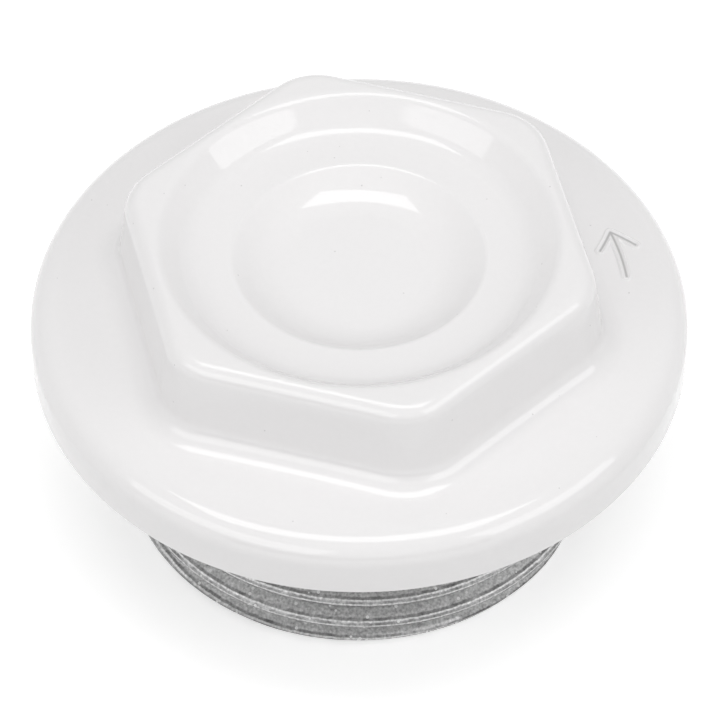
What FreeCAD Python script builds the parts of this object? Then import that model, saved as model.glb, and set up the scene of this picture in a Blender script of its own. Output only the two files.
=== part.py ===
import FreeCAD, Part
import Sketcher
import math
import os

# Radiator blanking plug: a formed steel plug with a dished hexagon head, a round flange and a hollow
# threaded spigot, and the flat sealing ring that sits under the flange. Millimetres, +Z up, standing
# on the end of the spigot. The thread is plain here, at its major diameter.

doc = FreeCAD.newDocument("RadiatorBlankingPlug")
sizes = doc.addObject("Spreadsheet::Sheet", "Sizes")

DRIVING_DIMENSIONS = [
    ("thread_diameter", 33.249, "major diameter of the parallel pipe thread, size 1"),
    ("thread_length", 14.0, "from the spigot's end to the flange rim"),
    ("thread_lead_in", 1.2, "chamfer at the spigot's end"),
    ("neck_clearance", 1.8, "sealing ring to thread relief, which is as tall as the ring"),
    ("bore_diameter", 24.0, "hollow of the spigot"),
    ("bore_depth", 15.7, "hollow of the spigot, from its end"),
    ("bore_corner_radius", 2.5, "rounding at the hollow's blind end"),
    ("flange_diameter", 45.96, "over the rim"),
    ("flange_edge_height", 4.26, "from the rim to the flange's top, measured at the edge"),
    ("flange_edge_radius", 1.9, "rounding of the flange's upper edge"),
    ("flange_slope", 2.0, "rise of the flange's top towards the head, degrees"),
    ("rim_radius", 0.28, "rounding of the rim's lower edges"),
    ("rim_width", 1.9, "rim outside the ring seat"),
    ("seat_depth", 2.2, "ring seat, from the rim"),
    ("hex_across_flats", 30.0, "at the top of the head"),
    ("hex_draft", 6.0, "lean of the flanks, degrees"),
    ("hex_height", 6.64, "head above the flange's upper edge"),
    ("hex_corner_radius", 4.2, "rounding between two flanks"),
    ("hex_top_radius", 0.85, "rounding of the head's top edge"),
    ("hex_foot_radius", 1.7, "fillet between head and flange"),
    ("crown_width", 1.2, "flank to dish, across the top of the head"),
    ("dish_depth", 1.95, "dish, below the top"),
    ("dish_wall_angle", 45.2, "lean of the dish's wall from level, degrees"),
    ("dish_lip_radius", 0.6, "rounding of the dish's lip"),
    ("dish_floor_radius", 1.7, "fillet round the dish's floor"),
    ("hollow_diameter", 17.6, "round hollow in the dish's floor"),
    ("hollow_depth", 1.6, "round hollow, below the dish's floor"),
    ("hollow_wall_angle", 36.5, "lean of the hollow's wall from level, degrees"),
    ("hollow_floor_radius", 4.2, "fillet round the hollow's floor"),
    ("hollow_lip_radius", 0.6, "rounding of the hollow's lip"),
    ("ring_thickness", 3.0, "sealing ring"),
    ("ring_width", 4.1, "sealing ring, from its hole to its rim"),
    ("ring_clearance", 0.2, "ring to seat wall"),
    ("ring_edge_radius", 0.4, "rounding of the ring's edges"),
]

for row, (alias, value, note) in enumerate(DRIVING_DIMENSIONS, start=1):
    sizes.set(f"A{row}", alias)
    sizes.set(f"B{row}", str(value))
    sizes.set(f"C{row}", note)
    sizes.setAlias(f"B{row}", alias)
doc.recompute()


def size(alias):
    return float(sizes.get(alias))


# Levels and radii that more than one feature uses, as expressions on the sheet.
FLANGE_EDGE_Z = "(Sizes.thread_length + Sizes.flange_edge_height)"
HEAD_TOP_Z = f"({FLANGE_EDGE_Z} + Sizes.hex_height)"
DISH_FLOOR_Z = f"({HEAD_TOP_Z} - Sizes.dish_depth)"
SEAT_Z = "(Sizes.thread_length + Sizes.seat_depth)"
RING_UNDERSIDE_Z = f"({SEAT_Z} - Sizes.ring_thickness)"
SEAT_RADIUS = "(Sizes.flange_diameter / 2 - Sizes.rim_width)"
RING_OUTER_RADIUS = f"({SEAT_RADIUS} - Sizes.ring_clearance)"
RING_INNER_RADIUS = f"({RING_OUTER_RADIUS} - Sizes.ring_width)"
NECK_RADIUS = f"({RING_INNER_RADIUS} - Sizes.neck_clearance)"
DISH_RADIUS = "(Sizes.hex_across_flats / 2 - Sizes.crown_width)"
DISH_FLOOR_RADIUS = f"({DISH_RADIUS} - Sizes.dish_depth / tan(Sizes.dish_wall_angle * 1 deg))"
HOLLOW_RADIUS = "(Sizes.hollow_diameter / 2)"
HOLLOW_FLOOR_Z = f"({DISH_FLOOR_Z} - Sizes.hollow_depth)"
HOLLOW_FLOOR_RADIUS = f"({HOLLOW_RADIUS} - Sizes.hollow_depth / tan(Sizes.hollow_wall_angle * 1 deg))"

rim_z = size("thread_length")
flange_edge_z = rim_z + size("flange_edge_height")
head_top_z = flange_edge_z + size("hex_height")
dish_floor_z = head_top_z - size("dish_depth")
seat_radius = size("flange_diameter") / 2 - size("rim_width")
dish_radius = size("hex_across_flats") / 2 - size("crown_width")
dish_floor_radius = dish_radius - size("dish_depth") / math.tan(math.radians(size("dish_wall_angle")))
hollow_radius = size("hollow_diameter") / 2
hollow_floor_z = dish_floor_z - size("hollow_depth")
hollow_floor_radius = hollow_radius - size("hollow_depth") / math.tan(math.radians(size("hollow_wall_angle")))
SAME = 0.001  # two lengths this close are the same


def origin_plane(body, role):
    for feature in body.Origin.OriginFeatures:
        if feature.Role == role:
            return feature
    raise ValueError(f"no {role} in {body.Label}")


def new_body(label):
    body = doc.addObject("PartDesign::Body", label)
    body.Label = label
    return body


def new_sketch(body, name, role):
    sketch = body.newObject("Sketcher::SketchObject", name)
    sketch.AttachmentSupport = [(origin_plane(body, role), "")]
    sketch.MapMode = "FlatFace"
    return sketch


def fix_point(sketch, edge, end, across, up):
    # Ties one end of an edge to two expressions, measured from the sketch's origin.
    for kind, expression in (("DistanceX", across), ("DistanceY", up)):
        value = sketch.evalExpression(expression)
        index = sketch.addConstraint(Sketcher.Constraint(kind, -1, 1, edge, end, value))
        sketch.setExpression(f"Constraints[{index}]", expression)


def closed_outline(sketch, corners, rounded=None):
    # Draws a closed outline through corners, each an (across, up) pair of expressions. rounded gives the
    # radius of each corner, by number, that is an arc between its two straight edges.
    places = []
    for across, up in corners:
        places.append(FreeCAD.Vector(sketch.evalExpression(across), sketch.evalExpression(up), 0))
    rounded = rounded or {}
    bends = {}
    for number, radius in rounded.items():
        following = places[(number + 1) % len(places)]
        value = sketch.evalExpression(radius)
        bends[number] = arc_at_corner(places[number - 1], places[number], following, value)
    for number in range(len(places)):
        following = (number + 1) % len(places)
        start = bends[number].EndPoint if number in bends else places[number]
        end = bends[following].StartPoint if following in bends else places[following]
        sketch.addGeometry(Part.LineSegment(start, end), False)
    for number, (across, up) in enumerate(corners):
        before = (number - 1) % len(corners)
        if number not in bends:
            sketch.addConstraint(Sketcher.Constraint("Coincident", before, 2, number, 1))
            fix_point(sketch, number, 1, across, up)
            continue
        arc = sketch.addGeometry(bends[number], False)
        sharp = sketch.addGeometry(Part.Point(places[number]), True)
        sketch.addConstraint(Sketcher.Constraint("Tangent", before, 2, arc, 1))
        sketch.addConstraint(Sketcher.Constraint("Tangent", arc, 2, number, 1))
        sketch.addConstraint(Sketcher.Constraint("PointOnObject", sharp, 1, before))
        sketch.addConstraint(Sketcher.Constraint("PointOnObject", sharp, 1, number))
        fix_point(sketch, sharp, 1, across, up)
        index = sketch.addConstraint(Sketcher.Constraint("Radius", arc, bends[number].Radius))
        sketch.setExpression(f"Constraints[{index}]", rounded[number])


def arc_at_corner(before, corner, following, radius):
    # The arc that rounds an outward corner of an outline drawn anticlockwise.
    back = (before - corner).normalize()
    ahead = (following - corner).normalize()
    half_angle = back.getAngle(ahead) / 2
    centre = corner + (back + ahead).normalize() * (radius / math.sin(half_angle))
    set_back = radius / math.tan(half_angle)
    first = corner + back * set_back - centre
    last = corner + ahead * set_back - centre
    circle = Part.Circle(centre, FreeCAD.Vector(0, 0, 1), radius)
    return Part.ArcOfCircle(circle, math.atan2(first.y, first.x), math.atan2(last.y, last.x))


def revolve(body, kind, name, sketch):
    feature = body.newObject(f"PartDesign::{kind}", name)
    feature.Profile = sketch
    feature.ReferenceAxis = (sketch, ["V_Axis"])
    feature.Angle = 360
    doc.recompute()
    return feature


def round_edges(body, name, base, wanted, radius_alias):
    # Rounds each edge of base for which wanted(edge) is true.
    found = []
    for number, edge in enumerate(base.Shape.Edges, start=1):
        if not edge.Degenerated and wanted(edge):
            found.append(f"Edge{number}")
    if not found:
        raise ValueError(f"{name} found no edge")
    fillet = body.newObject("PartDesign::Fillet", name)
    fillet.Base = (base, found)
    fillet.setExpression("Radius", f"Sizes.{radius_alias}")
    doc.recompute()
    return fillet


def circle_at(radius, height):
    def wanted(edge):
        curve = edge.Curve
        if not isinstance(curve, Part.Circle):
            return False
        same_radius = abs(curve.Radius - radius) < SAME
        return same_radius and abs(curve.Center.z - height) < SAME

    return wanted


def make_head(body):
    # Hexagon head with drafted flanks, its corners on the X axis.
    sketch = new_sketch(body, "HexSection", "XY_Plane")
    sketch.setExpression("AttachmentOffset.Base.z", FLANGE_EDGE_Z)
    reach = "Sizes.hex_across_flats / 2 / cos(30 deg)"
    corners = []
    for step in range(6):
        corners.append((f"{reach} * cos({60 * step} deg)", f"{reach} * sin({60 * step} deg)"))
    closed_outline(sketch, corners)
    head = body.newObject("PartDesign::Pad", "Head")
    head.Profile = sketch
    head.setExpression("Length", "Sizes.hex_height")
    doc.recompute()
    flanks = []
    for number, face in enumerate(head.Shape.Faces, start=1):
        upward = face.normalAt(0, 0).z
        if abs(upward) < SAME:
            flanks.append(f"Face{number}")
        elif upward > 0:
            top = f"Face{number}"
    draft = body.newObject("PartDesign::Draft", "HexDraft")
    draft.Base = (head, flanks)
    draft.NeutralPlane = (head, [top])
    draft.setExpression("Angle", "Sizes.hex_draft * 1 deg")
    doc.recompute()

    def between_flanks(edge):
        return edge.BoundBox.ZLength > SAME

    return round_edges(body, "HexCorners", draft, between_flanks, "hex_corner_radius")


def make_flange_and_spigot(body):
    # Flange, ring seat, neck and hollow spigot, turned about the axis.
    sketch = new_sketch(body, "TurnedSection", "XZ_Plane")
    thread = "Sizes.thread_diameter / 2"
    rim = "Sizes.flange_diameter / 2"
    bore = "Sizes.bore_diameter / 2"
    corners = [
        (bore, "0"),
        (f"{thread} - Sizes.thread_lead_in", "0"),
        (thread, "Sizes.thread_lead_in"),
        (thread, RING_UNDERSIDE_Z),
        (NECK_RADIUS, RING_UNDERSIDE_Z),
        (NECK_RADIUS, SEAT_Z),
        (SEAT_RADIUS, SEAT_Z),
        (SEAT_RADIUS, "Sizes.thread_length"),
        (rim, "Sizes.thread_length"),
        (rim, FLANGE_EDGE_Z),
        ("0", f"{FLANGE_EDGE_Z} + {rim} * tan(Sizes.flange_slope * 1 deg)"),
        ("0", "Sizes.bore_depth"),
        (bore, "Sizes.bore_depth"),
    ]
    upper_edge = corners.index((rim, FLANGE_EDGE_Z))
    closed_outline(sketch, corners, rounded={upper_edge: "Sizes.flange_edge_radius"})
    turned = revolve(body, "Revolution", "Turned", sketch)
    rim_outer = circle_at(size("flange_diameter") / 2, rim_z)
    rim_inner = circle_at(seat_radius, rim_z)
    blind_end = circle_at(size("bore_diameter") / 2, size("bore_depth"))
    tip = round_edges(body, "RimOuter", turned, rim_outer, "rim_radius")
    tip = round_edges(body, "RimInner", tip, rim_inner, "rim_radius")
    return round_edges(body, "BlindEnd", tip, blind_end, "bore_corner_radius")


def round_head(body, tip):
    # The fillet at the head's foot and the rounding of its top edge.
    flank_middle_z = flange_edge_z + size("hex_height") / 2

    def at_the_foot(edge):
        box = edge.BoundBox
        from_axis = math.hypot(edge.CenterOfMass.x, edge.CenterOfMass.y)
        in_reach = size("bore_diameter") / 2 < from_axis < size("flange_diameter") / 2
        return in_reach and flange_edge_z < box.ZMin and box.ZMax < flank_middle_z

    def at_the_top(edge):
        return edge.BoundBox.ZMin > head_top_z - SAME

    tip = round_edges(body, "HexFoot", tip, at_the_foot, "hex_foot_radius")
    return round_edges(body, "HexTop", tip, at_the_top, "hex_top_radius")


def make_dish(body, tip):
    # Dish in the head, with a shallow round hollow in its floor.
    before = tip.Shape.Volume
    sketch = new_sketch(body, "DishSection", "XZ_Plane")
    corners = [
        ("0", HOLLOW_FLOOR_Z),
        (HOLLOW_FLOOR_RADIUS, HOLLOW_FLOOR_Z),
        (HOLLOW_RADIUS, DISH_FLOOR_Z),
        (DISH_FLOOR_RADIUS, DISH_FLOOR_Z),
        (DISH_RADIUS, HEAD_TOP_Z),
        ("0", HEAD_TOP_Z),
    ]
    closed_outline(sketch, corners)
    dish = revolve(body, "Groove", "Dish", sketch)
    if dish.Shape.Volume > before - SAME:
        raise ValueError("the dish cut nothing")
    lip = circle_at(dish_radius, head_top_z)
    floor = circle_at(dish_floor_radius, dish_floor_z)
    hollow_lip = circle_at(hollow_radius, dish_floor_z)
    hollow_floor = circle_at(hollow_floor_radius, hollow_floor_z)
    tip = round_edges(body, "DishLip", dish, lip, "dish_lip_radius")
    tip = round_edges(body, "DishFloor", tip, floor, "dish_floor_radius")
    tip = round_edges(body, "HollowLip", tip, hollow_lip, "hollow_lip_radius")
    return round_edges(body, "HollowFloor", tip, hollow_floor, "hollow_floor_radius")


def make_plug_body():
    body = new_body("plug_body")
    make_head(body)
    tip = make_flange_and_spigot(body)
    tip = round_head(body, tip)
    make_dish(body, tip)
    return body


def make_sealing_ring():
    # Flat ring against the roof of its seat, standing a little proud of the rim.
    body = new_body("sealing_ring")
    sketch = new_sketch(body, "RingSection", "XZ_Plane")
    corners = [
        (RING_INNER_RADIUS, RING_UNDERSIDE_Z),
        (RING_OUTER_RADIUS, RING_UNDERSIDE_Z),
        (RING_OUTER_RADIUS, SEAT_Z),
        (RING_INNER_RADIUS, SEAT_Z),
    ]
    closed_outline(sketch, corners)
    ring = revolve(body, "Revolution", "Ring", sketch)

    def every_round_edge(edge):
        return isinstance(edge.Curve, Part.Circle)

    round_edges(body, "RingEdges", ring, every_round_edge, "ring_edge_radius")
    return body


bodies = [make_plug_body(), make_sealing_ring()]
doc.recompute()

for item in doc.Objects:
    if "Invalid" in item.State or "Error" in item.State:
        raise RuntimeError(f"{item.Label} failed: {item.State}")
for body in bodies:
    if body.Shape.isNull() or not body.Shape.isValid():
        raise RuntimeError(f"{body.Label} has no valid shape")

os.makedirs("parts", exist_ok=True)
for body in bodies:
    box = body.Shape.BoundBox
    print(body.Label, len(body.Shape.Solids), round(body.Shape.Volume, 2), box)
    body.Shape.exportStep(f"parts/{body.Label}.step")
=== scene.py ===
import math

import bpy
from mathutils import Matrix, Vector


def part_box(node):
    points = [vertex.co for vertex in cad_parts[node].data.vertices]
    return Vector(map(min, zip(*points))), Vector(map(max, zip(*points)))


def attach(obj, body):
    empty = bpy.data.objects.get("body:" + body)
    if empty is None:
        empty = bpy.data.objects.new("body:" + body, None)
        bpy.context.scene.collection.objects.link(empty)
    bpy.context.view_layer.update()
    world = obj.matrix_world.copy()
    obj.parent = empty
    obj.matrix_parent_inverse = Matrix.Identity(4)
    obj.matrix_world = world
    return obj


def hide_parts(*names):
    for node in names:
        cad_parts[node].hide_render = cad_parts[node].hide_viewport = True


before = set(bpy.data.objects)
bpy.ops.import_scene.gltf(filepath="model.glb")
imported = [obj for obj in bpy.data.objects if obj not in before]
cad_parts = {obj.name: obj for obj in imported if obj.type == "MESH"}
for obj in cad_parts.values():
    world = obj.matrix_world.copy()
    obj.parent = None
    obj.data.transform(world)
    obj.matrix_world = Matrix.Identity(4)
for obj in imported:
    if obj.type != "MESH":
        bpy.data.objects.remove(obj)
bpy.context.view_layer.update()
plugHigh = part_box("plug_body")[1]
ringLow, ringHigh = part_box("sealing_ring")
mm = 0.001  # sizes below are in millimetres unless a note says otherwise
print("frame loaded")


def steps(first, last, count):
    return [first + (last - first) * number / count for number in range(count + 1)]


def tilts(first, last, count):
    return [math.radians(value) for value in steps(first, last, count)]


def pointAt(radius, angle, height):
    # metres, from a place round the axis
    return radius * mm * math.cos(angle), radius * mm * math.sin(angle), height * mm


# plug body: one skin of rows round the axis, from the middle of the head to the middle of the blind end
plug = {
    "columns": 320,
    "sharpAngle": 58.0,  # degrees between two faces, from where the edge is drawn sharp
    "middleRadius": 0.4,  # first and last row, closed by triangles
    "hollowRadius": 8.8,
    "hollowDepth": 1.6,
    "hollowSlope": 36.5,  # degrees from level
    "hollowFloor": 4.2,
    "hollowLip": 0.6,
    "dishRadius": 13.92,
    "dishDepth": 1.95,
    "dishSlope": 45.2,
    "dishLip": 1.2,
    "dishFloor": 1.7,
    "crownBlend": 0.1,
    "joinTilt": 25.0,  # degrees from level, where the crown's rows become hexagons
    "flankTop": 15.0,  # axis to flat, at the top of the head
    "draft": 6.0,  # degrees from upright
    "cornerRadius": 4.2,
    "topRadius": 1.3,
    "footRadius": 1.7,
    "flangeSlope": 2.0,  # degrees from level
    "edgeRadius": 1.9,
    "hexHeight": 6.64,
    "rimRound": 0.28,
    "rimWidth": 1.9,
    "seatDepth": 2.2,
    "neckRadius": 14.98,
    "boreRadius": 12.0,
    "boreDepth": 15.7,
    "boreRound": 2.5,
}

# how finely each stretch of the skin is divided
rowCounts = {
    "middle": 4,
    "floorFillet": 14,
    "slope": 4,
    "lip": 8,
    "crown": 28,
    "topEdge": 24,
    "flank": 6,
    "footFillet": 14,
    "flange": 10,
    "flangeEdge": 18,
    "rim": 3,
    "rimCorner": 5,
    "seat": 4,
    "bore": 4,
    "boreCorner": 8,
}

finishNumbers = {"enamel": 0, "thread": 1, "plain": 2}  # in the order that the skin gets its materials

rimRadius = plugHigh.x / mm
headTop = plugHigh.z / mm
seatRoof = ringHigh.z / mm
ringUnder = ringLow.z / mm
rimZ = seatRoof - plug["seatDepth"]
flangeEdgeZ = headTop - plug["hexHeight"]
seatRadius = rimRadius - plug["rimWidth"]
angles = [2 * math.pi * number / plug["columns"] for number in range(plug["columns"])]
halfSide = math.radians(30)  # half of the angle that a side of the hexagon takes up


def sideOffset(angle):
    # angle from the middle of the nearest side of the hexagon
    off = (angle - halfSide) % (2 * halfSide)
    return min(off, 2 * halfSide - off)


def hexReach(angle, apothem, corner):
    # distance from the axis to a hexagon with round corners
    off = sideOffset(angle)
    if apothem * math.tan(off) <= (apothem - corner) * math.tan(halfSide):
        return apothem / math.cos(off)
    centre = (apothem - corner) / math.cos(halfSide)
    aside = centre * math.sin(halfSide - off)
    return centre * math.cos(halfSide - off) + math.sqrt(corner**2 - aside**2)


def hexOut(radius, angle, apothem, corner):
    # how far a point lies outside a hexagon with round corners
    off = sideOffset(angle)
    if radius * math.sin(off) <= (apothem - corner) * math.tan(halfSide):
        return radius * math.cos(off) - apothem
    centre = (apothem - corner) / math.cos(halfSide)
    return math.sqrt(radius**2 + centre**2 - 2 * radius * centre * math.cos(halfSide - off)) - corner


def roundRow(radius, height):
    return [(radius, height)] * plug["columns"]


def hexRow(apothem, corner, height):
    return [(hexReach(angle, apothem, corner), height) for angle in angles]


def arcRows(centreRadius, centreHeight, radius, tiltList, side):
    # side 1 bulges up and outwards, side -1 hollows down and outwards
    rows = []
    for tilt in tiltList:
        across = centreRadius + radius * math.sin(tilt)
        rows.append(roundRow(across, centreHeight + side * radius * math.cos(tilt)))
    return rows


def between(rowA, rowB, count):
    # the rows that lead evenly from one row to another
    rows = []
    for share in steps(0, 1, count)[1:-1]:
        row = []
        for (radiusA, heightA), (radiusB, heightB) in zip(rowA, rowB):
            row.append((radiusA + (radiusB - radiusA) * share, heightA + (heightB - heightA) * share))
        rows.append(row)
    return rows


def dishedRows(name, top):
    # section of a round dish: floor fillet and sloping wall, and the lip by itself
    degrees = plug[name + "Slope"]
    slope = math.radians(degrees)
    half = math.tan(slope / 2)
    floor = plug[name + "Floor"]
    lip = plug[name + "Lip"]
    foot = plug[name + "Radius"] - plug[name + "Depth"] / math.tan(slope)
    lowest = top - plug[name + "Depth"]
    floorTilts = tilts(0, degrees, rowCounts["floorFillet"])
    lipTilts = tilts(-degrees, 0, rowCounts["lip"])
    rows = arcRows(foot - floor * half, lowest + floor, floor, floorTilts, -1)
    edge = arcRows(plug[name + "Radius"] + lip * half, top - lip, lip, lipTilts, 1)
    return lowest, rows + between(rows[-1], edge[0], rowCounts["slope"]), edge


def hollowRows():
    lowest, bowl, edge = dishedRows("hollow", headTop - plug["dishDepth"])
    middle = roundRow(plug["middleRadius"], lowest)
    return lowest, [middle] + between(middle, bowl[0], rowCounts["middle"]) + bowl + edge


def roundDrop(out, radius):
    # how far a rounded edge has fallen, that far out from where it starts
    out = min(max(out, 0), radius)
    return radius - math.sqrt(radius**2 - out**2)


def softSum(dropA, dropB):
    # the deeper of two drops, eased over where they cross
    ease = plug["crownBlend"]
    share = max(ease - abs(dropA - dropB), 0) / ease
    return max(dropA, dropB) + share**2 * ease / 4


def flangeHeight(radius):
    return flangeEdgeZ + (rimRadius - radius) * math.tan(math.radians(plug["flangeSlope"]))


def headRows():
    # dish, crown between dish and flanks, then flank and foot fillet of the hexagon
    lean = 90 - plug["draft"]
    top = plug["topRadius"]
    centre = plug["flankTop"] - top * math.tan(math.radians(lean / 2))
    corner = plug["cornerRadius"] - top * math.sin(math.radians(lean))
    lip = plug["dishLip"]
    slope = math.radians(plug["dishSlope"])
    lipCentre = plug["dishRadius"] + lip * math.tan(slope / 2)
    first = lipCentre - lip * math.sin(slope)
    joinReach = top * math.sin(math.radians(plug["joinTilt"]))
    narrowest = centre + joinReach - first
    count = rowCounts["crown"]
    rows = dishedRows("dish", headTop)[1]
    for share in steps(0, 1, count):
        row = []
        for angle in angles:
            width = hexReach(angle, centre + joinReach, corner + joinReach) - first
            power = 1 + math.log(width / narrowest) / math.log(count)  # rows stay close at the lip
            radius = first + width * share**power
            dishDrop = roundDrop(lipCentre - radius, lip)
            flankDrop = roundDrop(hexOut(radius, angle, centre, corner), top)
            row.append((radius, headTop - softSum(dishDrop, flankDrop)))
        rows.append(row)
    for tilt in tilts(plug["joinTilt"], lean, rowCounts["topEdge"])[1:]:
        reach = top * math.sin(tilt)
        rows.append(hexRow(centre + reach, corner + reach, headTop - top + top * math.cos(tilt)))
    foot = plug["footRadius"]
    footMiddle = flangeHeight(plug["flankTop"] + foot)
    ballZ = footMiddle + foot / math.cos(math.radians(plug["flangeSlope"]))
    flank = plug["flankTop"] + (headTop - ballZ) * math.tan(math.radians(plug["draft"]))
    ball = flank + foot / math.cos(math.radians(plug["draft"]))
    footCorner = plug["cornerRadius"] + foot * math.sin(math.radians(lean))
    fillet = []
    for tilt in tilts(lean, plug["flangeSlope"], rowCounts["footFillet"]):
        reach = -foot * math.sin(tilt)
        row = hexRow(ball + reach, footCorner + reach, ballZ - foot * math.cos(tilt))
        share = (lean - math.degrees(tilt)) / (lean - plug["flangeSlope"])
        fillet.append([(r, z + (flangeHeight(r) - footMiddle) * share**2) for r, z in row])
    return rows + between(rows[-1], fillet[0], rowCounts["flank"]) + fillet


def flangeRows(first):
    # flange from the head's foot to its rim, then the ring's seat up to the neck
    slope = math.radians(plug["flangeSlope"])
    edge = plug["edgeRadius"]
    edgeMiddle = rimRadius - edge
    edgeZ = flangeHeight(edgeMiddle) - edge / math.cos(slope)
    rows = arcRows(edgeMiddle, edgeZ, edge, tilts(plug["flangeSlope"], 90, rowCounts["flangeEdge"]), 1)
    corner = plug["rimRound"]
    cornerZ = rimZ + corner
    outer = arcRows(rimRadius - corner, cornerZ, corner, tilts(90, 0, rowCounts["rimCorner"]), -1)
    inner = arcRows(seatRadius + corner, cornerZ, corner, tilts(0, -90, rowCounts["rimCorner"]), -1)
    rows += between(rows[-1], outer[0], rowCounts["rim"]) + outer + inner
    wallTop = roundRow(seatRadius, seatRoof)
    neckTop = roundRow(plug["neckRadius"], seatRoof)
    seat = [wallTop] + between(wallTop, neckTop, rowCounts["seat"]) + [neckTop]
    return between(first, rows[0], rowCounts["flange"]) + rows + seat


def boreRows():
    bore = plug["boreRadius"]
    depth = plug["boreDepth"]
    corner = plug["boreRound"]
    foot = roundRow(bore, 0)
    wall = arcRows(bore - corner, depth - corner, corner, tilts(90, 0, rowCounts["boreCorner"]), 1)
    last = roundRow(plug["middleRadius"], depth)
    end = between(wall[-1], last, rowCounts["middle"]) + [last]
    return [foot] + between(foot, wall[0], rowCounts["bore"]) + wall + end


# thread: left-hand, parallel, 55 degrees with round crests and roots
thread = {
    "radius": 16.6245,
    "pitch": 2.309,
    "crestRound": 0.317,
    "halfAngle": 27.5,  # degrees
    "depth": 1.479,
    "leadIn": 1.2,
    "topStep": 0.1,  # how far the thread's upper end stands out from the neck
    "topRelief": 0.9,  # and how fast it grows from there, sideways for one down
    "rowsPerTurn": 14,
    "endGap": 0.02,  # points this close to an end of the thread join it
}


def threadRadius(height, angle):
    # left-hand: the crest falls as the angle grows
    pitch = thread["pitch"]
    crest = thread["crestRound"]
    half = math.radians(thread["halfAngle"])
    along = (height + pitch * angle / (2 * math.pi)) % pitch
    off = min(along, pitch - along)
    bend = crest * math.cos(half)
    if off < bend:
        drop = crest - math.sqrt(crest**2 - off**2)
    elif off < pitch / 2 - bend:
        drop = crest * (1 - math.sin(half)) + (off - bend) / math.tan(half)
    else:
        drop = thread["depth"] - crest + math.sqrt(max(crest**2 - (pitch / 2 - off)**2, 0))
    leadIn = thread["radius"] - thread["leadIn"] + height
    relief = plug["neckRadius"] + thread["topStep"] + (ringUnder - height) * thread["topRelief"]
    return min(thread["radius"] - drop, leadIn, relief)


def addPiece(name, vertices, faces):
    mesh = bpy.data.meshes.new(name)
    mesh.from_pydata(vertices, [], faces)
    mesh.polygons.foreach_set("use_smooth", [True] * len(faces))
    mesh.set_sharp_from_angle(angle=math.radians(plug["sharpAngle"]))
    mesh.update()
    piece = bpy.data.objects.new(name, mesh)
    bpy.context.scene.collection.objects.link(piece)
    print(name, len(vertices), "points", len(faces), "faces")
    return piece


def makePlug():
    vertices = []
    faces = []
    finishes = []
    count = len(angles)

    def addRow(row):
        first = len(vertices)
        for angle, (radius, height) in zip(angles, row):
            vertices.append(pointAt(radius, angle, height))
        return list(range(first, first + count))

    def addFace(corners, finish):
        unique = []
        for corner in corners:
            if corner not in unique:
                unique.append(corner)
        if len(unique) > 2:
            faces.append(unique)
            finishes.append(finishNumbers[finish])

    def joinRows(upper, lower, finish):
        for column in range(count):
            following = (column + 1) % count
            addFace([upper[column], lower[column], lower[following], upper[following]], finish)

    def joinAll(rows, finish):
        numbers = [addRow(row) for row in rows]
        for upper, lower in zip(numbers, numbers[1:]):
            joinRows(upper, lower, finish)
        return numbers

    def closeMiddle(height, row, finish, upward):
        vertices.append((0, 0, height * mm))
        middle = len(vertices) - 1
        for column in range(count):
            pair = [row[column], row[(column + 1) % count]]
            addFace([middle] + (pair if upward else pair[::-1]), finish)

    def climbingRow(number, upperEdge, lowerEdge):
        row = []
        for column, angle in enumerate(angles):
            height = thread["pitch"] * (number / thread["rowsPerTurn"] - angle / (2 * math.pi))
            if height >= ringUnder - thread["endGap"]:
                row.append(upperEdge[column])
            elif height <= thread["endGap"]:
                row.append(lowerEdge[column])
            else:
                vertices.append(pointAt(threadRadius(height, angle), angle, height))
                row.append(len(vertices) - 1)
        return row

    def joinThread(upperEdge, lowerEdge):
        # rows climb with the thread, so each one meets the row of the turn below at the seam
        perTurn = thread["rowsPerTurn"]
        turns = math.ceil(ringUnder / thread["pitch"]) + 1
        rows = [climbingRow(number, upperEdge, lowerEdge) for number in range((turns + 1) * perTurn + 1)]
        seam = [lowerEdge[0]] * perTurn + [row[0] for row in rows]
        for number in range(len(rows) - 1):
            lower = rows[number] + [seam[number]]
            upper = rows[number + 1] + [seam[number + 1]]
            for column in range(count):
                addFace([upper[column], lower[column], lower[column + 1], upper[column + 1]], "thread")

    lowest, top = hollowRows()
    top += headRows()
    enamelRows = joinAll(top + flangeRows(top[-1]), "enamel")
    closeMiddle(lowest, enamelRows[0], "enamel", True)

    neck = addRow(roundRow(plug["neckRadius"], ringUnder))
    joinRows(enamelRows[-1], neck, "plain")
    upperEdge = addRow([(threadRadius(ringUnder, angle), ringUnder) for angle in angles])
    lowerEdge = addRow([(threadRadius(0, angle), 0) for angle in angles])
    joinThread(upperEdge, lowerEdge)
    joinRows(neck, upperEdge, "plain")

    bore = joinAll(boreRows(), "plain")
    joinRows(lowerEdge, bore[0], "plain")
    closeMiddle(plug["boreDepth"], bore[-1], "plain", False)

    skin = addPiece("plugSkin", vertices, faces)
    skin.data.polygons.foreach_set("material_index", finishes)
    return skin


# arrow stamped in the flange, the way the plug turns when it closes
arrow = {
    "bearing": 30.0,  # degrees from the X axis
    "radius": 18.85,
    "length": 4.4,
    "headLength": 1.6,
    "headSpread": 1.3,
    "grooveHalf": 0.12,
    "lipPlace": 0.27,  # from the middle of a stroke
    "lipHalf": 0.10,
    "lipHeight": 0.12,
    "reach": 0.5,
    "sink": 0.012,  # the stamp's floor is this far above the flange, its edge as far below
    "root": 0.3,  # how deep the stamp's underside lies in the flange
    "cell": 0.05,
}


def strokeDistance(along, across, start, end):
    runA = end[0] - start[0]
    runB = end[1] - start[1]
    share = ((along - start[0]) * runA + (across - start[1]) * runB) / (runA**2 + runB**2)
    share = min(max(share, 0), 1)
    return math.hypot(along - start[0] - share * runA, across - start[1] - share * runB)


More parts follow.
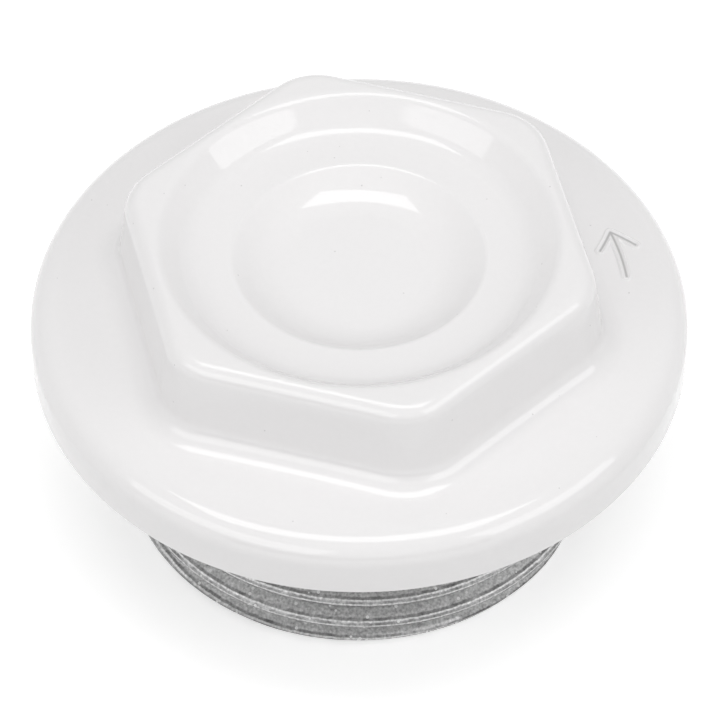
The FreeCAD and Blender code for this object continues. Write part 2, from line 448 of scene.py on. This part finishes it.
def arrowDistance(along, across):
    # to the nearest stroke: a shaft and two barbs
    half = arrow["length"] / 2
    nearest = strokeDistance(along, across, (-half, 0), (half, 0))
    for side in (-1, 1):
        barb = (half - arrow["headLength"], side * arrow["headSpread"])
        nearest = min(nearest, strokeDistance(along, across, (half, 0), barb))
    return nearest


def arrowRise(distance):
    # a lip of metal pushed up on each side of the stroke
    lip = arrow["lipHeight"] * math.exp(-((distance - arrow["lipPlace"]) / arrow["lipHalf"])**2)
    return lip + arrow["sink"] * math.cos(math.pi * min(distance / arrow["reach"], 1))


def makeArrow():
    alongReach = arrow["length"] / 2 + arrow["reach"]
    acrossReach = arrow["headSpread"] + arrow["reach"]
    alongSteps = steps(-alongReach, alongReach, round(2 * alongReach / arrow["cell"]))
    acrossSteps = steps(-acrossReach, acrossReach, round(2 * acrossReach / arrow["cell"]))
    distances = [[arrowDistance(along, across) for along in alongSteps] for across in acrossSteps]
    vertices = []
    shades = []
    numbers = {}
    faces = []

    def corner(row, column):
        # a point on top, and the one below it next in the list
        if (row, column) not in numbers:
            distance = distances[row][column]
            radius = arrow["radius"] + acrossSteps[row]
            angle = math.radians(arrow["bearing"]) + alongSteps[column] / arrow["radius"]
            numbers[(row, column)] = len(vertices)
            for height in (arrowRise(distance), -arrow["root"]):
                vertices.append(pointAt(radius, angle, flangeHeight(radius) + height))
                # painted shade: how dark the enamel is painted here, most along the middle of a stroke
                shades.append(max(1 - (distance / arrow["grooveHalf"])**2, 0))
        return numbers[(row, column)]

    for row in range(len(acrossSteps) - 1):
        for column in range(len(alongSteps) - 1):
            places = [(row, column), (row + 1, column), (row + 1, column + 1), (row, column + 1)]
            if min(distances[a][b] for a, b in places) < arrow["reach"]:
                faces.append([corner(a, b) for a, b in places])
    edges = {(face[side - 1], face[side]) for face in faces for side in range(4)}
    walls = [[b, a, a + 1, b + 1] for a, b in sorted(edges) if (b, a) not in edges]
    faces += [[point + 1 for point in reversed(face)] for face in faces] + walls
    stamp = addPiece("arrowStamp", vertices, faces)
    # the stroke attribute carries the painted shade to the enamel
    stamp.data.attributes.new("stroke", "FLOAT", "POINT").data.foreach_set("value", shades)
    return stamp


def addNode(tree, kind, place, **inputs):
    node = tree.nodes.new(kind)
    node.location = place
    for name, value in inputs.items():
        node.inputs[name.replace("_", " ")].default_value = value
    return node


def feed(tree, socket, source):
    # the source is another socket, a number or a colour
    if isinstance(source, tuple):
        socket.default_value = (*source, 1)
    elif isinstance(source, float):
        socket.default_value = source
    else:
        tree.links.new(source, socket)


def addMath(tree, operation, place, *sources):
    node = addNode(tree, "ShaderNodeMath", place)
    node.operation = operation
    for socket, source in zip(node.inputs, sources):
        feed(tree, socket, source)
    return node.outputs["Value"]


def addMix(tree, place, factor, colourA, colourB, blend="MIX"):
    node = addNode(tree, "ShaderNodeMix", place)
    node.data_type = "RGBA"
    node.blend_type = blend
    feed(tree, node.inputs["Factor"], factor)
    colours = [socket for socket in node.inputs if socket.type == "RGBA"]
    for socket, colour in zip(colours, (colourA, colourB)):
        feed(tree, socket, colour)
    return [socket for socket in node.outputs if socket.type == "RGBA"][0]


def newGroup(name, inputs, outputs):
    # every socket of these groups is a number
    group = bpy.data.node_groups.new(name, "ShaderNodeTree")
    for socketName, value in inputs.items():
        socket = group.interface.new_socket(name=socketName, in_out="INPUT", socket_type="NodeSocketFloat")
        socket.default_value = value
    for socketName in outputs:
        group.interface.new_socket(name=socketName, in_out="OUTPUT", socket_type="NodeSocketFloat")
    source = group.nodes.new("NodeGroupInput")
    source.location = (-900, 0)
    target = group.nodes.new("NodeGroupOutput")
    target.location = (700, 0)
    return group, source, target


def makeFleckGroup():
    # small scattered dots: dust under the enamel, spray on the thread
    group, source, target = newGroup("flecks", {"Scale": 900.0, "Size": 0.2, "Share": 0.1}, ["Mask"])
    link = group.links.new
    where = addNode(group, "ShaderNodeTexCoord", (-900, 300))
    cells = addNode(group, "ShaderNodeTexVoronoi", (-600, 200))
    link(where.outputs["Object"], cells.inputs["Vector"])
    link(source.outputs["Scale"], cells.inputs["Scale"])
    inside = addMath(group, "LESS_THAN", (-300, 200), cells.outputs["Distance"], source.outputs["Size"])
    split = addNode(group, "ShaderNodeSeparateColor", (-300, 0))
    link(cells.outputs["Color"], split.inputs["Color"])
    chosen = addMath(group, "LESS_THAN", (0, 0), split.outputs["Red"], source.outputs["Share"])
    both = addMath(group, "MULTIPLY", (300, 100), inside, chosen)
    link(both, target.inputs["Mask"])
    return group


def makeGrainGroup():
    # uneven surface: a long swell, a fine grain and the two together
    inputs = {"Swell Scale": 300.0, "Grain Scale": 2500.0, "Grain Share": 0.3}
    group, source, target = newGroup("grain", inputs, ["Swell", "Grain", "Height"])
    link = group.links.new
    where = addNode(group, "ShaderNodeTexCoord", (-900, 300))
    swell = addNode(group, "ShaderNodeTexNoise", (-500, 250), Detail=1.0)
    grain = addNode(group, "ShaderNodeTexNoise", (-500, -50), Detail=2.0)
    link(where.outputs["Object"], swell.inputs["Vector"])
    link(where.outputs["Object"], grain.inputs["Vector"])
    link(source.outputs["Swell Scale"], swell.inputs["Scale"])
    link(source.outputs["Grain Scale"], grain.inputs["Scale"])
    height = addMath(group, "MULTIPLY_ADD", (100, -200),
                     grain.outputs["Fac"], source.outputs["Grain Share"], swell.outputs["Fac"])
    link(swell.outputs["Fac"], target.inputs["Swell"])
    link(grain.outputs["Fac"], target.inputs["Grain"])
    link(height, target.inputs["Height"])
    return group


def makeTurnGroup():
    # place across one turn of the thread: 0 at a crest, 1 at the next crest up
    inputs = {"Pitch": 0.002, "Wander": 0.02, "Wander Scale": 1000.0, "End Height": 0.001, "End Shift": 0.0}
    group, source, target = newGroup("threadTurn", inputs, ["Share"])
    link = group.links.new
    where = addNode(group, "ShaderNodeTexCoord", (-900, 300))
    split = addNode(group, "ShaderNodeSeparateXYZ", (-700, 300))
    link(where.outputs["Object"], split.inputs["Vector"])
    around = addMath(group, "ARCTAN2", (-500, 400), split.outputs["Y"], split.outputs["X"])
    climb = addMath(group, "DIVIDE", (-500, 200), split.outputs["Z"], source.outputs["Pitch"])
    turn = addMath(group, "MULTIPLY_ADD", (-300, 300), around, 1 / (2 * math.pi), climb)
    noise = addNode(group, "ShaderNodeTexNoise", (-300, 0), Detail=3.0)
    link(where.outputs["Object"], noise.inputs["Vector"])
    link(source.outputs["Wander Scale"], noise.inputs["Scale"])
    uneven = addMath(group, "MULTIPLY_ADD", (0, 200), noise.outputs["Fac"], source.outputs["Wander"], turn)
    low = addMath(group, "LESS_THAN", (0, 0), split.outputs["Z"], source.outputs["End Height"])
    shifted = addMath(group, "MULTIPLY_ADD", (200, 100), low, source.outputs["End Shift"], uneven)
    share = addMath(group, "FRACT", (400, 200), shifted)
    link(share, target.inputs["Share"])
    return group


fleckGroup = makeFleckGroup()
grainGroup = makeGrainGroup()
turnGroup = makeTurnGroup()


def placeGroup(tree, group, place, **inputs):
    node = addNode(tree, "ShaderNodeGroup", place)
    node.node_tree = group
    for name, value in inputs.items():
        node.inputs[name.replace("_", " ")].default_value = value
    return node


def placeFlecks(tree, look, place):
    return placeGroup(tree, fleckGroup, place, Scale=look["fleckScale"],
                      Size=look["fleckSize"], Share=look["fleckShare"]).outputs["Mask"]


def placeGrain(tree, look, place):
    return placeGroup(tree, grainGroup, place, Swell_Scale=look["swellScale"],
                      Grain_Scale=look["grainScale"], Grain_Share=look["grainShare"]).outputs


def addBump(tree, shader, height, distance):
    bump = addNode(tree, "ShaderNodeBump", (-300, -200), Strength=1.0, Distance=distance)
    tree.links.new(height, bump.inputs["Height"])
    tree.links.new(bump.outputs["Normal"], shader.inputs["Normal"])


def newMaterial(name):
    material = bpy.data.materials.new(name)
    material.use_nodes = True
    tree = material.node_tree
    shader = tree.nodes["Principled BSDF"]
    return material, tree, shader


# scales here are cells in a metre; a fleck's size is in cells, and fleckShare of the cells hold one
enamel = {
    "white": (0.845, 0.835, 0.836),
    "thin": (0.825, 0.815, 0.817),
    "fleck": (0.66, 0.65, 0.65),
    "fleckScale": 900.0,
    "fleckSize": 0.055,
    "fleckShare": 0.32,
    "stroke": (0.46, 0.455, 0.455),  # painted shade along the middle of the stamped arrow's strokes
    "swellScale": 320.0,
    "grainScale": 2400.0,
    "grainShare": 0.25,
    "peelHeight": 0.000004,  # metres
    "roughness": 0.06,
    "glossIndex": 1.5,
}


def makeEnamel():
    material, tree, shader = newMaterial("whiteEnamel")
    grain = placeGrain(tree, enamel, (-900, 0))
    flecks = placeFlecks(tree, enamel, (-900, 300))
    # painted shade along the middle of the arrow's strokes, read from the stroke attribute
    stroke = addNode(tree, "ShaderNodeAttribute", (-500, 600))
    stroke.attribute_name = "stroke"
    tone = addMix(tree, (-500, 300), grain["Grain"], enamel["white"], enamel["thin"])
    dotted = addMix(tree, (-250, 300), flecks, tone, enamel["fleck"])
    grooveShaded = addMix(tree, (0, 300), stroke.outputs["Fac"], dotted, enamel["stroke"])
    tree.links.new(grooveShaded, shader.inputs["Base Color"])
    addBump(tree, shader, grain["Height"], enamel["peelHeight"])
    shader.inputs["Roughness"].default_value = enamel["roughness"]
    shader.inputs["IOR"].default_value = enamel["glossIndex"]
    return material


zinc = {
    "plain": (0.47, 0.47, 0.47),
    "dull": (0.36, 0.36, 0.36),
    "fleck": (0.72, 0.72, 0.72),  # enamel sprayed on the metal
    "fleckScale": 1800.0,
    "fleckSize": 0.22,
    "fleckShare": 0.36,
    "swellScale": 900.0,
    "grainScale": 5000.0,
    "grainShare": 0.6,
    "grainTone": 0.8,  # how strongly the grain shows in the colour
    "grainHeight": 0.000014,  # metres
    "roughness": 0.55,
    "bands": (  # painted highlight and shade lines: share of a turn above the crest, and how bright the metal is painted there
        (0.00, 0.03),
        (0.01, 0.62),
        (0.05, 0.62),
        (0.065, 0.10),
        (0.115, 0.10),
        (0.13, 0.60),
        (0.15, 0.60),
        (0.16, 0.02),
        (0.19, 0.02),
        (0.21, 0.47),
        (0.33, 0.47),
        (0.38, 0.04),
    ),
    "wander": 0.03,  # shares of a turn that the bands stray
    "wanderScale": 1800.0,
    "endHeight": 1.4,  # below this the bands lie higher up the flank
    "endShift": -0.05,
}


# painted highlight and shade: bright and dark lines in the metal's colour across each turn
def paintedThreadLines(tree):
    turn = placeGroup(tree, turnGroup, (-1300, 500), Pitch=thread["pitch"] * mm, Wander=zinc["wander"],
                      Wander_Scale=zinc["wanderScale"], End_Height=zinc["endHeight"] * mm,
                      End_Shift=zinc["endShift"])
    ramp = addNode(tree, "ShaderNodeValToRGB", (-1100, 600))
    stops = ramp.color_ramp.elements
    while len(stops) < len(zinc["bands"]):
        stops.new(0.5)
    for stop, (share, brightness) in zip(stops, zinc["bands"]):
        stop.position = share
        stop.color = (brightness, brightness, brightness, 1)
    tree.links.new(turn.outputs["Share"], ramp.inputs["Fac"])
    return ramp.outputs["Color"]


def makeZinc(name, banded):
    # banded is for the thread, whose turns get painted highlight lines along the crests and painted shade
    # lines beside them
    material, tree, shader = newMaterial(name)
    grain = placeGrain(tree, zinc, (-1100, 0))
    flecks = placeFlecks(tree, zinc, (-900, 300))
    # on the thread this colour carries the painted highlight and shade lines
    dull = paintedThreadLines(tree) if banded else zinc["dull"]
    patchyTone = addMix(tree, (-700, 500), grain["Swell"], dull, zinc["plain"])
    tone = addMix(tree, (-500, 300), zinc["grainTone"], patchyTone, grain["Grain"], "OVERLAY")
    dotted = addMix(tree, (-250, 300), flecks, tone, zinc["fleck"])
    tree.links.new(dotted, shader.inputs["Base Color"])
    metal = addMath(tree, "SUBTRACT", (-250, 100), 1.0, flecks)
    tree.links.new(metal, shader.inputs["Metallic"])
    addBump(tree, shader, grain["Height"], zinc["grainHeight"])
    shader.inputs["Roughness"].default_value = zinc["roughness"]
    return material


silicone = {
    "pale": (0.72, 0.72, 0.70),
    "deep": (0.64, 0.64, 0.62),
    "swellScale": 220.0,
    "grainScale": 1800.0,
    "grainShare": 0.4,
    "grainHeight": 0.00001,  # metres
    "roughness": 0.5,
}


def makeSilicone():
    material, tree, shader = newMaterial("siliconeRing")
    grain = placeGrain(tree, silicone, (-900, 0))
    tone = addMix(tree, (-500, 300), grain["Swell"], silicone["pale"], silicone["deep"])
    tree.links.new(tone, shader.inputs["Base Color"])
    addBump(tree, shader, grain["Height"], silicone["grainHeight"])
    shader.inputs["Roughness"].default_value = silicone["roughness"]
    return material


whiteEnamel = makeEnamel()
plugSkin = makePlug()
plugSkin.data.materials.append(whiteEnamel)
plugSkin.data.materials.append(makeZinc("zincThread", True))
plugSkin.data.materials.append(makeZinc("zincPlain", False))
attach(plugSkin, "root")
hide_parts("plug_body")

arrowStamp = makeArrow()
arrowStamp.data.materials.append(whiteEnamel)
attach(arrowStamp, "root")

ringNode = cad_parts["sealing_ring"]
ringNode.data.materials.clear()
ringNode.data.materials.append(makeSilicone())
print("materials set")

# camera: the photograph's angle and framing
view = {
    "azimuth": 16.5,  # degrees, to the right of the -Y side
    "elevation": 47.85,
    "distance": 400.0,
    "pixelsPerMm": 14.25,
    "framePixels": 720,  # width and height of the photograph
    "aimHeight": 15.0,  # point on the axis
    "aimPixel": (359.2, 333.0),  # where that point is in the photograph
    "sensor": 36.0,
    "clip": (0.01, 50.0),  # metres
}


def makeCamera():
    turn = math.radians(view["azimuth"])
    lift = math.radians(view["elevation"])
    towards = Vector((math.sin(turn), -math.cos(turn), 0))
    rightWay = Vector((math.cos(turn), math.sin(turn), 0))
    away = towards * math.cos(lift) + Vector((0, 0, math.sin(lift)))
    upWay = Vector((0, 0, math.cos(lift))) - towards * math.sin(lift)
    aside = (view["framePixels"] / 2 - view["aimPixel"][0]) / view["pixelsPerMm"]
    below = (view["framePixels"] / 2 - view["aimPixel"][1]) / view["pixelsPerMm"]
    aim = Vector((0, 0, view["aimHeight"])) + rightWay * aside - upWay * below
    data = bpy.data.cameras.new("camera")
    data.sensor_width = view["sensor"]
    data.lens = view["pixelsPerMm"] * view["distance"] / view["framePixels"] * view["sensor"]
    data.clip_start, data.clip_end = view["clip"]
    camera = bpy.data.objects.new("camera", data)
    camera.location = (aim + away * view["distance"]) * mm
    camera.rotation_euler = (math.radians(90) - lift, 0, turn)
    bpy.context.scene.collection.objects.link(camera)
    bpy.context.scene.camera = camera
    return towards, rightWay


frontWay, sideWay = makeCamera()
print("camera set")

# studio, in metres: a strip lamp overhead, a soft panel on each side and pale walls all round
studio = {
    "wallLow": 0.55,  # how bright the walls are at the horizon, and overhead
    "wallHigh": 0.455,
    "stripFront": 0.02,  # from the axis, towards the camera
    "stripLeft": 0.0025,
    "stripHeight": 0.60,
    "stripSize": (0.515, 0.24),
    "stripTurn": 7.0,  # degrees, right end towards the camera
    "stripLight": 3.0,  # radiance, where 1 is white
    "panelRadius": 0.8,
    "panelHeight": 0.52,
    "rightBearing": 63.0,  # degrees from the camera's side
    "rightSize": (0.75, 0.42),
    "rightLight": 1.98,
    "leftBearing": -43.0,
    "leftSize": (1.05, 0.42),
    "leftLight": 1.68,
}


def addLamp(name, place, size, radiance):
    data = bpy.data.lights.new(name, "AREA")
    data.shape = "RECTANGLE"
    data.size = size[0]
    data.size_y = size[1]
    data.energy = radiance * math.pi * size[0] * size[1]
    lamp = bpy.data.objects.new(name, data)
    lamp.location = place
    lamp.rotation_euler = (Vector((0, 0, headTop * mm)) - Vector(place)).to_track_quat("-Z", "Y").to_euler()
    bpy.context.scene.collection.objects.link(lamp)
    return lamp


def addSheet(name, corners, finish, colour):
    # flat and matt
    mesh = bpy.data.meshes.new(name)
    mesh.from_pydata(corners, [], [(0, 1, 2, 3)])
    sheet = bpy.data.objects.new(name, mesh)
    bpy.context.scene.collection.objects.link(sheet)
    material, tree, shader = newMaterial(finish)
    shader.inputs["Base Color"].default_value = (*colour, 1)
    shader.inputs["Roughness"].default_value = 1.0
    mesh.materials.append(material)
    return sheet, tree, shader


# upright card, low behind the camera, that only takes light away
card = {
    "front": 0.80,  # metres
    "size": (1.30, 0.22),
    "colour": (0.08, 0.08, 0.08),
}


def makeCard():
    foot = frontWay * card["front"]
    width, height = card["size"]
    corners = []
    for across, up in ((-0.5, 0), (0.5, 0), (0.5, 1), (-0.5, 1)):
        corners.append(foot + sideWay * (width * across) + Vector((0, 0, height * up)))
    darkCard = addSheet("darkCard", corners, "cardBlack", card["colour"])[0]
    darkCard.visible_camera = False


def seenRays(tree):
    # 1 for rays from the camera and for rays that glossy or clear surfaces send on, otherwise 0
    path = addNode(tree, "ShaderNodeLightPath", (-1300, 0))
    seen = path.outputs["Is Camera Ray"]
    for number, kind in enumerate(("Is Glossy Ray", "Is Transmission Ray")):
        seen = addMath(tree, "MAXIMUM", (-1100 + 200 * number, 0), seen, path.outputs[kind])
    return seen


floorLook = {
    "size": 6.0,  # metres
    "colour": (0.83, 0.83, 0.83),
    "glow": 0.455,  # lifts the floor to white where it is seen, under the shadow as well
}


def makeFloor():
    half = floorLook["size"] / 2
    corners = [(-half, -half, 0), (half, -half, 0), (half, half, 0), (-half, half, 0)]
    floor, tree, shader = addSheet("floor", corners, "paleFloor", floorLook["colour"])
    shader.inputs["Specular IOR Level"].default_value = 0.0
    shader.inputs["Emission Strength"].default_value = floorLook["glow"]
    tree.links.new(seenRays(tree), shader.inputs["Emission Color"])


def makeLamps():
    up = Vector((0, 0, 1))
    above = frontWay * studio["stripFront"] - sideWay * studio["stripLeft"] + up * studio["stripHeight"]
    strip = addLamp("strip", above, studio["stripSize"], studio["stripLight"])
    strip.rotation_euler = (0, 0, math.radians(view["azimuth"] - studio["stripTurn"]))
    for side in ("right", "left"):
        bearing = math.radians(studio[side + "Bearing"])
        way = frontWay * math.cos(bearing) + sideWay * math.sin(bearing)
        place = way * studio["panelRadius"] + up * studio["panelHeight"]
        addLamp(side + "Panel", place, studio[side + "Size"], studio[side + "Light"])


def makeWalls():
    # the world: white where it is seen, and as bright as the walls where it only lights
    world = bpy.data.worlds.new("studio")
    bpy.context.scene.world = world
    world.use_nodes = True
    tree = world.node_tree
    link = tree.links.new
    where = addNode(tree, "ShaderNodeTexCoord", (-900, -300))
    split = addNode(tree, "ShaderNodeSeparateXYZ", (-700, -300))
    link(where.outputs["Generated"], split.inputs["Vector"])
    walls = addNode(tree, "ShaderNodeMapRange", (-450, -300),
                    To_Min=studio["wallLow"], To_Max=studio["wallHigh"])
    link(split.outputs["Z"], walls.inputs["Value"])
    level = addNode(tree, "ShaderNodeMapRange", (-200, 0), To_Max=1.0)
    link(walls.outputs["Result"], level.inputs["To Min"])
    link(seenRays(tree), level.inputs["Value"])
    link(level.outputs["Result"], tree.nodes["Background"].inputs["Strength"])
    tree.nodes["Background"].inputs["Color"].default_value = (1, 1, 1, 1)


makeLamps()
makeCard()
makeWalls()
makeFloor()
bpy.context.scene.view_settings.view_transform = "Standard"
print("studio set")
